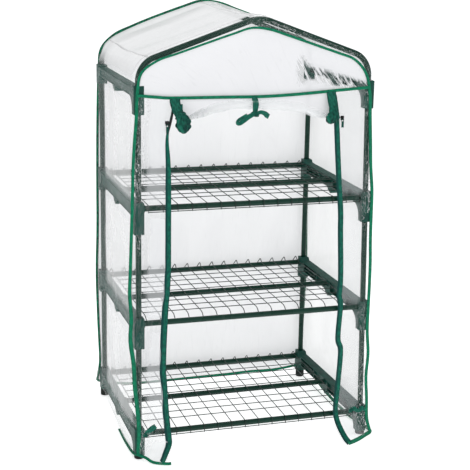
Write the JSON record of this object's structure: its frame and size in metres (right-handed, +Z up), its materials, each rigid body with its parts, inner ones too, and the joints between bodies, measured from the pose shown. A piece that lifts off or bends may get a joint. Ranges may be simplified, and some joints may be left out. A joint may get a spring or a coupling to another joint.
{
  "type": "mini greenhouse",
  "caption": "Narrow tiered greenhouse: push-fit tube frame with moulded side brackets, wire shelves, and a clear zip-up cover with its door rolled up under the eaves.",
  "frame": {"origin": "on the floor, under the middle of the whole outline", "axes": "+Z up, the doorway faces -Y, and +X is to the right as seen from in front of the doorway"},
  "size_m": [0.7094, 0.5886, 1.2402],
  "materials": {
    "moulding": "satin moulded plastic",
    "tube": "gloss dark green powder coat",
    "rubber": "matt",
    "wire": "dark green coated wire",
    "film": "clear, lightly crinkled film",
    "binding": "woven green edging tape",
    "tape": "woven dark green tape",
    "zip_metal": "black painted metal"
  },
  "bodies": {
    "frame": {"bracket_left_1": "moulding", "bracket_left_2": "moulding", "bracket_left_3": "moulding", "bracket_left_4": "moulding", "post_front_left_1": "tube", "post_front_left_2": "tube", "post_front_left_3": "tube", "foot_front_left": "rubber", "post_rear_left_1": "tube", "post_rear_left_2": "tube", "post_rear_left_3": "tube", "foot_rear_left": "rubber", "bracket_right_1": "moulding", "bracket_right_2": "moulding", "bracket_right_3": "moulding", "bracket_right_4": "moulding", "post_front_right_1": "tube", "post_front_right_2": "tube", "post_front_right_3": "tube", "foot_front_right": "rubber", "post_rear_right_1": "tube", "post_rear_right_2": "tube", "post_rear_right_3": "tube", "foot_rear_right": "rubber", "shelf_tube_front_1": "tube", "shelf_tube_front_2": "tube", "shelf_tube_front_3": "tube", "shelf_tube_middle_1": "tube", "shelf_tube_middle_2": "tube", "shelf_tube_middle_3": "tube", "shelf_tube_rear_1": "tube", "shelf_tube_rear_2": "tube", "shelf_tube_rear_3": "tube", "roof_arch_front": "tube", "roof_arch_rear": "tube"},
    "shelf_lower": {"wire_shelf_lower": "wire"},
    "shelf_middle": {"wire_shelf_middle": "wire"},
    "shelf_upper": {"wire_shelf_upper": "wire"},
    "cover": {"wall_left": "film", "wall_right": "film", "roof_left": "film", "roof_right": "film", "back_panel": "film", "front_gable": "film", "front_strip_left": "film", "front_strip_right": "film", "front_binding": "binding", "rear_binding": "binding", "eaves_binding": "binding", "zip_tape_left": "tape", "zip_tape_right": "tape"},
    "rolled_door": {"door_roll": "film", "door_strap_left": "tape", "door_strap_right": "tape", "door_tie_centre": "tape"},
    "slider_left": {"zip_slider_left": "zip_metal"},
    "slider_right": {"zip_slider_right": "zip_metal"},
    "pull_left": {"zip_pull_left": "tape"},
    "pull_right": {"zip_pull_right": "tape"}
  },
  "joints": [
    {"name": "shelf_lower_lift", "type": "slide", "parent": "frame", "child": "shelf_lower", "axis": [0, 0, 1], "range_m": [0, 0.12]},
    {"name": "shelf_middle_lift", "type": "slide", "parent": "frame", "child": "shelf_middle", "axis": [0, 0, 1], "range_m": [0, 0.12]},
    {"name": "shelf_upper_lift", "type": "slide", "parent": "frame", "child": "shelf_upper", "axis": [0, 0, 1], "range_m": [0, 0.12]},
    {"name": "cover_lift", "type": "slide", "parent": "frame", "child": "cover", "axis": [0, 0, 1], "range_m": [0, 1.3]},
    {"name": "rolled_door_swing", "type": "hinge", "parent": "cover", "child": "rolled_door", "pos_m": [0, -0.24444, 1.0135], "axis": [-1, 0, 0], "range_deg": [0, 70]},
    {"name": "zip_slide_left", "type": "slide", "parent": "cover", "child": "slider_left", "axis": [0, 0, -1], "range_m": [0, 0.82]},
    {"name": "zip_pull_swing_left", "type": "hinge", "parent": "slider_left", "child": "pull_left", "pos_m": [-0.2585, -0.24719, 0.9532], "axis": [-1, 0, 0], "range_deg": [-10, 120]},
    {"name": "zip_slide_right", "type": "slide", "parent": "cover", "child": "slider_right", "axis": [0, 0, -1], "range_m": [0, 0.82]},
    {"name": "zip_pull_swing_right", "type": "hinge", "parent": "slider_right", "child": "pull_right", "pos_m": [0.2475, -0.24719, 0.9532], "axis": [-1, 0, 0], "range_deg": [-10, 120]}
  ]
}
